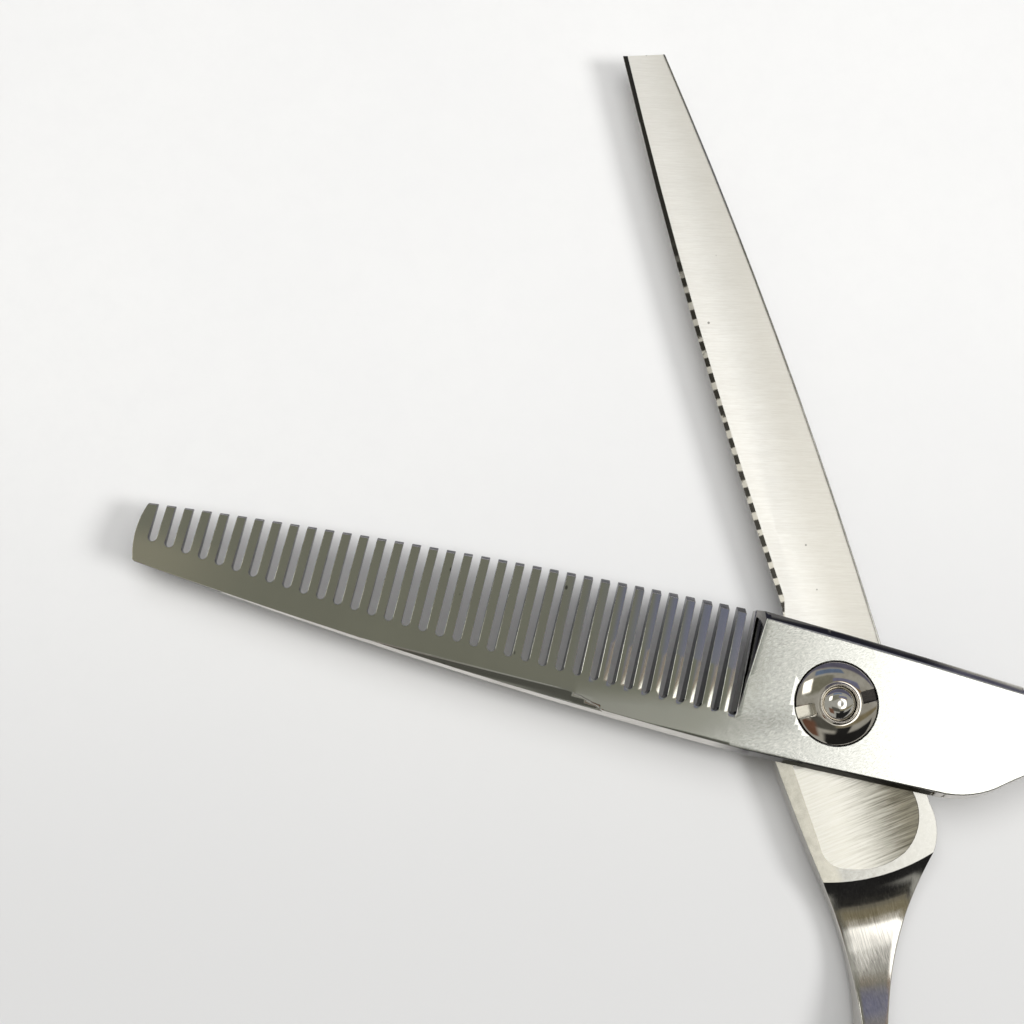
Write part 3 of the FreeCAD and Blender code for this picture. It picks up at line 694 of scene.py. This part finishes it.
def shank(arm, nodes, start, ride_round, outer_round):
    """Bar behind the heel, skinned over sections of the CAD shape with well rounded edges."""
    halvings, round_steps, inner_steps = 16, 7, 8
    offsets = [1 - cos(pi / 2 * i / round_steps) for i in range(round_steps + 1)]
    solid = cad_copy(arm, *nodes)
    tree = BVHTree.FromBMesh(solid)
    solid.free()
    distances = [start - 0.25, start - 0.01]
    distance = start + 0.1
    while distance < LOFT_END:
        distances.append(distance)
        distance += LOFT_FINE if distance < start + FINE_STRETCH else LOFT_COARSE

    def heights(angle, distance):
        """Lowest and highest z of the CAD shape there, or nothing beside it."""
        p = beyond_heel(angle, distance)
        low = tree.ray_cast(Vector((p.x, p.y, -ABOVE)), Vector((0, 0, 1)))
        high = tree.ray_cast(Vector((p.x, p.y, ABOVE)), Vector((0, 0, -1)))
        return (low[0].z, high[0].z) if low[0] is not None and high[0] is not None else None

    def limit(inside, outside, distance):
        """Angle of the bar's side between one inside it and one outside."""
        for _ in range(halvings):
            middle = (inside + outside) / 2
            if heights(middle, distance):
                inside = middle
            else:
                outside = middle
        return inside

    def side(which, r, sink):
        """Points across one side of the section: 0 is the ride side, 1 the outside."""
        r = min(r, 0.45 * width)
        across = [r * o for o in offsets]
        across += [r + (width - 2 * r) * i / inner_steps for i in range(1, inner_steps)]
        across += [width - r * o for o in reversed(offsets)]
        points = []
        for s in across:
            z = heights(left + min(max(s, EDGE_CLEAR), width - EDGE_CLEAR) / distance, distance)[which]
            edge = min(s, width - s)
            drop = r - sqrt(max(r * r - (r - min(edge, r)) ** 2, 0.0)) + sink
            p = beyond_heel(left + s / distance, distance)
            points.append((p.x, p.y, z + drop if which == 0 else z - drop))
        return points

    rows = []
    middle = radians(2.0)
    for row, distance in enumerate(distances):
        left = limit(middle, middle - HALF_SEARCH / distance, distance)
        right = limit(middle, middle + HALF_SEARCH / distance, distance)
        middle = (left + right) / 2
        width = (right - left) * distance
        grow = eased((distance - start) / SPREAD)
        ride_r = RIDE_EDGE + (ride_round - RIDE_EDGE) * grow
        outer_r = outer_round + (SHANK_ROUND - outer_round) * grow
        sink = 0.04 if row == 0 else 0.0     # the first section hides inside the heel
        rows.append(side(0, ride_r, sink) + side(1, outer_r, sink)[::-1])
    return skin(rows)


def behind_heel(start):
    """Tool that takes away all that lies beyond a radius of the heel's centre, behind the pivot."""
    reach, half_sweep, segments, far_segments, tall = 220.0, 80, 160, 8, 20.0
    near = [radians(-half_sweep) + radians(2 * half_sweep) * i / segments for i in range(segments + 1)]
    far = [radians(half_sweep - 2 * half_sweep / far_segments * i) for i in range(far_segments + 1)]
    loop = [HEEL + start * 0.999 * Vector((sin(t), -cos(t))) for t in near]
    loop += [HEEL + reach * Vector((sin(t), -cos(t))) for t in far]
    return skin([[(p.x, p.y, z) for p in loop] for z in (-tall, tall)])


def in_blend(face):
    """True for a face on the outside or its bevels, where the block runs into the face over the teeth."""
    if face.normal.z <= TILTED or face.calc_center_median().z <= BEVEL_LOW:
        return False
    along = [vert.co.y for vert in face.verts]
    return min(along) < BLEND_FRONT and max(along) > BLEND_BACK


def blend_block(bm):
    """Runs the block's flat top smoothly into the sloping face over the teeth, past the last slot."""
    for axis, start, stop in ((1, BLEND_BACK, BLEND_FRONT), (0, BLEND_SPINE, BLEND_EDGE)):
        at = start
        while at <= stop:
            place, across = [0.0, 0.0, 0.0], [0.0, 0.0, 0.0]
            place[axis], across[axis] = at, 1.0
            near = [face for face in bm.faces if in_blend(face)]
            parts = {v for f in near for v in f.verts} | {e for f in near for e in f.edges} | set(near)
            bmesh.ops.bisect_plane(bm, geom=list(parts), dist=1e-4, plane_co=place, plane_no=across)
            at += BLEND_STEP
    outside = {v for f in bm.faces if f.normal.z > FACING for v in f.verts}
    for vert in bm.verts:
        x, y, z = vert.co
        slope = FACE_Z - FACE_ACROSS * x - FACE_ALONG * (y - BLOCK_FRONT_Y)
        apart = abs(slope - BLOCK_Z)
        under = min(slope, BLOCK_Z) - z
        share = 1.0 if vert in outside or under < 0.02 else 1.0 - under / BLEND_SIDE
        if z < BLEND_FLOOR or apart > BLEND_REACH or share <= 0.0:
            continue
        fade = eased((y - BLEND_BACK) / (BLOCK_FRONT_Y - BLEND_BACK))
        vert.co.z = z - share * fade * 0.25 * BLEND_REACH * (1 - apart / BLEND_REACH) ** 2


def arm_blade(name, arm, node, handle, width_of, materials, choose):
    """Blade, block and heel from the CAD shape with rounded edges, and its bar as far as the weld."""
    start, ride_round, outer_round = SHANKS[arm]
    front = cut_away(cad_copy(arm, node), behind_heel(start))
    bmesh.ops.dissolve_limit(front, angle_limit=FLAT_BEND, verts=front.verts, edges=front.edges)
    front = rounded(name, front, width_of)
    if arm == "comb":
        blend_block(front)
    else:
        for y in (POCKET_Y, HONE_END):
            whole = front.verts[:] + front.edges[:] + front.faces[:]
            bmesh.ops.bisect_plane(front, geom=whole, dist=1e-4, plane_co=(0, y, 0), plane_no=(0, 1, 0))
    rear = shank(arm, (node, handle), start, ride_round, outer_round)
    cut_plane(rear, (0, WELD, 0), (0, -1, 0))
    return piece(name, joined(front, rear), arm, materials, choose)


def arm_handle(name, arm, node, handle, material):
    """Bar and ring run smoothly together, cut off flush at the weld."""
    bar = shank(arm, (node, handle), *SHANKS[arm])
    hoop = cad_copy(arm, handle)
    cut_plane(hoop, (0, RING_SIDE, 0), (0, 1, 0))
    obj = add_object(mesh_of(joined(bar, hoop), name), name)
    remesh = obj.modifiers.new("remesh", "REMESH")
    remesh.mode = "VOXEL"
    remesh.voxel_size = VOXEL
    relax = obj.modifiers.new("relax", "SMOOTH")
    relax.factor = 0.5
    relax.iterations = RELAX_TIMES
    bm = bmesh_of(evaluated_mesh(obj, name))
    cut_plane(bm, (0, WELD, 0), (0, 1, 0))
    return piece(name, bm, arm, [material], angle=40.0, weighted=False)


def past(p, start, margin=0.1):
    """True for a point of the bar behind a radius of the heel's centre."""
    return p.y < 0 and hypot(p.x - HEEL.x, p.y - HEEL.y) > start - margin


# Widths of the roundings, and each face's place in its blade's list of materials.
COMB_FACE, COMB_SIDES, COMB_SLOTS = range(3)
RIDE_FACE, RIDE_HONE, RIDE_LAND, STRAIGHT_SIDES, RIDE_POCKET = range(5)


def comb_width(p):
    if past(p, SHANKS["comb"][0]):
        return 0.0
    if p.y > BLOCK_FRONT_Y + 0.3 or hypot(p.x, p.y) < COUNTERBORE_REACH:
        return CRISP
    return EASED if p.z > 0.3 else CRISP


def comb_region(p, n):
    if past(p, SHANKS["comb"][0], 0.0):
        return COMB_SIDES
    if n.z > FACING and p.z > (FACE_LOW if p.y > BLOCK_FRONT_Y else BLOCK_LOW):
        return COMB_FACE
    between_teeth = p.y > BLOCK_FRONT_Y + 0.1 and abs(n.z) < 0.6 and p.x > SLOT_FOOT_X
    return COMB_SLOTS if between_teeth else COMB_SIDES


def straight_width(p):
    if past(p, HEEL_R):
        return 0.0
    return CRISP if p.z < 0.3 else EASED


def straight_region(p, n):
    """The ride face looks down in the arm's frame: its hollow lies above its border there."""
    if n.z > -0.9 or p.z > RIDE_HIGH or past(p, HEEL_R, 0.0):
        return STRAIGHT_SIDES
    if p.z > RIDE_LOW:
        return RIDE_POCKET if p.y < POCKET_Y else RIDE_FACE
    return RIDE_HONE if p.y > HONE_END and p.x > HONE_X else RIDE_LAND


# ---- Pivot -----------------------------------------------------------------------------
def nut_piece():
    """Round nut: mirror dome, thin rolled collar round its bore, two spanner notches."""
    low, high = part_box("tension_nut")
    foot, top = low.z / MM, high.z / MM
    block = COMB_TOP_Z / MM
    r, bore, collar, collar_foot = (high.x - low.x) / 2 / MM, 1.78, 2.02, 2.20
    dome = bend_through((r - 0.03, block + 0.14), (3.30, block + 0.575), (collar_foot, block + 0.90), 14)
    roll = bend_through((collar, top - 0.12), ((collar + bore) / 2, top), (bore, top - 0.12), 8)
    outline = [(bore, foot + 0.05), (bore + 0.05, foot)]
    outline += [(r - 0.06, foot), (r, foot + 0.06), (r, block + 0.08)]
    outline += dome + [(collar_foot - 0.07, block + 0.90), (collar, block + 0.97)] + roll
    bm = lathe(outline, 128)
    width, floor, start = 1.2, block - 0.25, 2.45        # of the notches
    length, tall = 3.0, 3.0
    tools = [box_tool((length, width, tall), (side * (start + length / 2), 0, floor + tall / 2), NUT_TURN)
             for side in (1, -1)]
    bm = cut_away(bm, *tools)

    def width_of(p):
        radius = hypot(p.x, p.y)
        turn = Matrix.Rotation(-NUT_TURN, 3, "Z") @ p
        in_notch = abs(turn.y) < width / 2 + 0.02 and radius > start - 0.05 and p.z > floor - 0.02
        return 0.045 if in_notch and radius < r - 0.02 else 0.0

    def region(p, n):
        on_floor = n.z > 0.9 and hypot(p.x, p.y) > start - 0.1 and abs(p.z - floor) < 0.05
        return 1 if on_floor else 0

    return piece("tension_nut_steel", rounded("nut", bm, width_of), None, [NUT, NUT_NOTCH], region)


def bolt_piece():
    """Pivot bolt: keyed head below, plain journal, domed end that shows in the nut."""
    low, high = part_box("pivot_bolt")
    top = high.z / MM
    head_r, head_h, half_flat, journal, end_r = 4.5, 1.3, 3.9, 2.0, 1.70
    dome_z = top - 0.62
    dome = bend_through((end_r, dome_z), (end_r * 0.72, dome_z + 0.40), (0.0, top), 14)
    dome[-1] = (0.0, top)
    outline = [(0.0, 0.0), (head_r - 1.6, 0.0), (head_r - 0.12, 0.0), (head_r - 0.035, 0.035), (head_r, 0.12),
               (head_r, head_h - 0.06), (head_r - 0.06, head_h), (head_r - 1.6, head_h), (journal, head_h),
               (journal, 4.9), (end_r, 5.1)] + dome
    bm = lathe(outline, 128)
    for vert in bm.verts:
        if vert.co.z <= head_h + 0.01 and abs(vert.co.y) > half_flat:
            vert.co.y = half_flat if vert.co.y > 0 else -half_flat
    return piece("pivot_bolt_steel", bm, None, [BOLT])


PLAY = 0.01                  # that a washer stays clear of what it turns on


def washer_piece(name, node, material, ease=CRISP):
    """Plain ring in the place of a CAD washer, with eased edges and a little play above and below."""
    bm = cad_copy(None, node)
    low, high = min(v.co.z for v in bm.verts), max(v.co.z for v in bm.verts)
    for vert in bm.verts:
        vert.co.z = min(max(vert.co.z, low + PLAY), high - PLAY)
    bmesh.ops.dissolve_limit(bm, angle_limit=FLAT_BEND, verts=bm.verts, edges=bm.edges)
    return piece(name, rounded(name, bm, lambda p: ease), None, [material])


# ---- Soft pieces and finger rest -------------------------------------------------------
RING_X, RING_INNER, RING_HEIGHT = 13.9, 11.2, 6.0
RINGS = {"comb": -67.0, "straight": -62.0}       # each ring's place along its arm
RING_LOW = {"comb": -COMB_RIDE_Z / MM, "straight": RIDE_Z / MM - RING_HEIGHT}


def insert_piece(name, arm):
    """Soft ring pressed into a finger ring: a full crown inside and a small lip at each face."""
    inset, crown_r, mouth_r, lip_r = 0.15, 9.70, 9.98, 10.2
    low = RING_LOW[arm] + inset
    high = RING_LOW[arm] + RING_HEIGHT - inset
    middle = (low + high) / 2
    rim = RING_INNER - 0.02
    outline = rounded_loop([(rim, low + 0.5), (rim - 0.45, low), (lip_r, low + 0.02)], [0.1, 0.35, 0.25])
    outline += bend_through((mouth_r, low + 0.18), (crown_r, middle), (mouth_r, high - 0.18), 16)
    outline += rounded_loop([(lip_r, high - 0.02), (rim - 0.45, high), (rim, high - 0.5)], [0.25, 0.35, 0.1])
    bm = lathe(outline, 128)
    bmesh.ops.translate(bm, vec=(RING_X, RINGS[arm], 0), verts=bm.verts)
    return piece(name, bm, arm, [RUBBER_C if arm == "comb" else RUBBER_S], angle=50.0, weighted=False)


def bumper_piece():
    """Soft peg with a rounded end, set in the thumb ring towards the other ring."""
    seat, end, r, angle = 12.3, 15.30, 2.0, radians(190.2)
    outline = [(0.0, seat), (r, seat), (r, end - 0.75)]
    outline += bend_through((r - 0.02, end - 0.6), (r - 0.24, end - 0.2), (r - 0.8, end), 6) + [(0.0, end)]
    bm = lathe(outline, 64)
    bmesh.ops.rotate(bm, cent=(0, 0, 0), matrix=Matrix.Rotation(pi / 2, 3, "Y"), verts=bm.verts)
    bmesh.ops.rotate(bm, cent=(0, 0, 0), matrix=Matrix.Rotation(angle, 3, "Z"), verts=bm.verts)
    height = RING_LOW["straight"] + RING_HEIGHT / 2
    bmesh.ops.translate(bm, vec=(RING_X, RINGS["straight"], height), verts=bm.verts)
    return piece("bumper_rubber", bm, "straight", [RUBBER_S], angle=50.0, weighted=False)


def finger_rest_piece():
    """Curved horn: full at its foot, slimmer along its bend, with a small bulb at its end."""
    angle, bend, bend_r, full, slimming = radians(-68.0), radians(45.0), 21.5, 1.9, 0.48
    bulb_at, around, steps, end_steps = 0.86, 40, 44, 9
    boss_end = 13.2 + 1.3
    out, side = Vector((cos(angle), sin(angle), 0)), Vector((-sin(angle), cos(angle), 0))
    middle = Vector((RING_X, RINGS["comb"], RING_LOW["comb"] + RING_HEIGHT / 2))
    foot = middle + out * boss_end
    centre = foot + side * bend_r
    up = Vector((0, 0, 1))

    def row(at, across, radius):
        turns = [2 * pi * i / around for i in range(around)]
        return [at + across * radius * cos(t) + up * radius * sin(t) for t in turns]

    shoulder = ((-2.3, 1.15), (-0.02, 1.2), (0.0, 1.72), (0.10, 1.86), (0.25, full))
    rows = [row(foot + out * reach, side, radius) for reach, radius in shoulder]
    for i in range(1, steps + 1):
        t = i / steps
        turn = angle + bend * t
        tip = centre + Vector((sin(turn), -cos(turn), 0)) * bend_r
        across = Vector((-sin(turn), cos(turn), 0))
        if t < bulb_at:
            slim = full - slimming * sin(pi * min(t / bulb_at, 1.0)) ** 0.8
        else:
            slim = full - 0.06 * (t - bulb_at)
        rows.append(row(tip, across, slim))
    ahead = Vector((cos(turn), sin(turn), 0))
    for i in range(1, end_steps):
        t = pi / 2 * i / end_steps
        rows.append(row(tip + ahead * slim * sin(t), across, slim * cos(t)))
    return piece("finger_rest_steel", skin(rows), "comb", [HANDLE], angle=40.0, weighted=False)


# ---- Stage -----------------------------------------------------------------------------
TABLE_HALF = 2.5             # metres


def floor_piece():
    bm = bmesh.new()
    bmesh.ops.create_grid(bm, x_segments=8, y_segments=8, size=TABLE_HALF)
    floor = add_object(mesh_of(bm, "table"), "table")
    floor.data.materials.append(paper())
    floor.location.z = -0.02 * MM            # just clear of what lies on it


def soft_light(name, at, size, power, colour=(1.0, 1.0, 1.0)):
    """Panel that lights the table and dull surfaces, aimed at the pivot. The view's frame, in millimetres."""
    data = bpy.data.lights.new(name, "AREA")
    data.shape = "DISK"
    data.size = size * MM
    data.energy = power
    data.color = colour
    light = add_object(data, name)
    at = Vector(at) * MM
    aim = Matrix.Translation(at) @ at.to_track_quat("Z", "Y").to_matrix().to_4x4()
    light.matrix_world = Matrix.Rotation(VIEW_TURN, 4, "Z") @ aim
    light.visible_glossy = False


# Soft patches of the studio that the steel mirrors. Each is a slope range sideways and one upwards
# from the zenith in the view's frame, a softness, and a colour.
PATCHES = [
    ((-9.0, 9.0), (-99.0, -1.9), 0.15, (0.45, 0.45, 0.44)),      # pale floor far in front
    ((-0.10, 3.0), (-99.0, -0.85), 0.10, (0.02, 0.02, 0.02)),    # its shaded part
    ((-0.45, 0.27), (-0.66, -0.24), 0.06, (0.10, 0.10, 0.088)),  # dark sill
    ((0.25, 0.66), (-99.0, -0.50), 0.06, (0.02, 0.02, 0.02)),    # dark doorway in front
    ((0.24, 9.0), (-0.50, -0.27), 0.06, (0.25, 0.22, 0.14)),     # olive board before it
    ((-0.60, 0.24), (0.20, 0.75), 0.06, (0.235, 0.235, 0.190)),  # olive wall
    ((-9.0, 9.0), (1.3, 99.0), 0.15, (0.13, 0.13, 0.19)),        # dim wall behind
    ((0.19, 0.31), (-0.27, 0.00), 0.03, (0.80, 0.80, 0.76)),     # pale curtain beside the soft box
    ((0.305, 0.66), (-0.27, 0.22), 0.03, (2.5, 2.47, 2.38)),     # large soft box
    ((0.26, 0.95), (0.22, 0.32), 0.03, (0.30, 0.22, 0.14)),      # brown frame behind it
    ((0.20, 0.95), (0.33, 0.56), 0.03, (0.20, 0.21, 0.33)),      # blue-violet window
    ((-0.35, 0.60), (0.86, 1.18), 0.05, (0.16, 0.22, 0.34)),     # blue sky above it
    ((-0.80, -0.40), (0.30, 0.75), 0.06, (3.0, 3.0, 2.9)),       # small bright window
    ((-0.95, -0.30), (-1.25, -0.45), 0.10, (0.17, 0.09, 0.06)),  # warm furniture
]
AMBIENT = (0.42, 0.42, 0.39)


def studio_world():
    """The room that the steel mirrors: an even grey with the patches laid over it."""
    world = bpy.data.worlds.new("studio")
    world.use_nodes = True
    bpy.context.scene.world = world
    t = Tree(world.node_tree)
    direction = t.put("ShaderNodeTexCoord").outputs["Generated"]
    x, y, z = t.split(t.place(direction, turn=-VIEW_TURN))
    z = t.math("MAXIMUM", z, 0.02)
    u = t.math("DIVIDE", x, z)
    v = t.math("DIVIDE", y, z)
    colour = AMBIENT
    for (u0, u1), (v0, v1), soft, tint in PATCHES:
        mask = t.step(u, u0 - soft, u0 + soft)
        mask = t.math("MULTIPLY", mask, t.step(u, u1 - soft, u1 + soft, 1.0, 0.0))
        mask = t.math("MULTIPLY", mask, t.step(v, v0 - soft, v0 + soft))
        mask = t.math("MULTIPLY", mask, t.step(v, v1 - soft, v1 + soft, 1.0, 0.0))
        colour = t.mix(mask, colour, tint)
    back = t.put("ShaderNodeBackground")
    t.link(colour, back.inputs[0])
    out = t.put("ShaderNodeOutputWorld")
    t.link(back.outputs[0], out.inputs[0])


bpy.context.scene.view_settings.view_transform = "Standard"
make_camera()
floor_piece()
studio_world()
soft_light("key", (880.0, -190.0, 860.0), 460.0, 8.6, (1.0, 0.997, 0.985))
soft_light("fill", (-70.0, 230.0, 560.0), 480.0, 1.65)

BRUSHED = brushed_face()
HONE = hone_strip()
LAND = heel_land()
POCKET = heel_pocket()
SIDE = polished("straight_side_polished", "straight", *FORGED)
FACE = comb_outside()
COMB_SIDE = comb_side()
# painted shade: the slot walls are made near black
WALL = polished("comb_slot_ground_painted_shade", "comb", *SHADED_SLOT, CROSSWISE)
RUBBER_C = rubber("comb")
RUBBER_S = rubber("straight")
NYLON = nylon()
NUT = turned("nut_polished", (0.56, 0.52, 0.46), (0.70, 0.66, 0.60), (0.03, 0.08))
NUT_NOTCH = notch_floor()
BOLT = turned("bolt_polished", (0.66, 0.64, 0.60), (0.78, 0.76, 0.72), (0.04, 0.10))
SPRING = turned("spring_ground", (0.45, 0.44, 0.42), (0.60, 0.58, 0.55), (0.18, 0.28))
HANDLE = polished("comb_handle_polished", "comb", *CAST)
HANDLE_S = polished("straight_handle_polished", "straight", *CAST)


def fit(obj, body, node):
    """obj rides on the body and stands in for the CAD node, which it hides."""
    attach(obj, body)
    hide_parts(node)


fit(arm_blade("comb_blade_steel", "comb", "comb_blade", "comb_handle", comb_width,
              [FACE, COMB_SIDE, WALL], comb_region), "comb_arm", "comb_blade")
fit(arm_blade("straight_blade_steel", "straight", "straight_blade", "straight_handle", straight_width,
              [BRUSHED, HONE, LAND, SIDE, POCKET], straight_region),
    "straight_arm", "straight_blade")
fit(arm_handle("comb_handle_steel", "comb", "comb_blade", "comb_handle", HANDLE),
    "comb_arm", "comb_handle")
fit(arm_handle("straight_handle_steel", "straight", "straight_blade", "straight_handle", HANDLE_S),
    "straight_arm", "straight_handle")
fit(nut_piece(), "nut", "tension_nut")
fit(bolt_piece(), "straight_arm", "pivot_bolt")
fit(washer_piece("blade_washer_nylon", "blade_washer", NYLON),
    "straight_arm", "blade_washer")
fit(washer_piece("pivot_bushing_nylon", "pivot_bushing", NYLON),
    "comb_arm", "pivot_bushing")
fit(washer_piece("wave_spring_steel", "wave_spring", SPRING, 0.03), "comb_arm", "wave_spring")
fit(washer_piece("thrust_washer_steel", "thrust_washer", SPRING), "comb_arm", "thrust_washer")
fit(finger_rest_piece(), "comb_arm", "finger_rest")
fit(bumper_piece(), "straight_arm", "bumper")
fit(insert_piece("finger_ring_insert_rubber", "comb"), "comb_arm", "finger_ring_insert")
fit(insert_piece("thumb_ring_insert_rubber", "straight"), "straight_arm", "thumb_ring_insert")
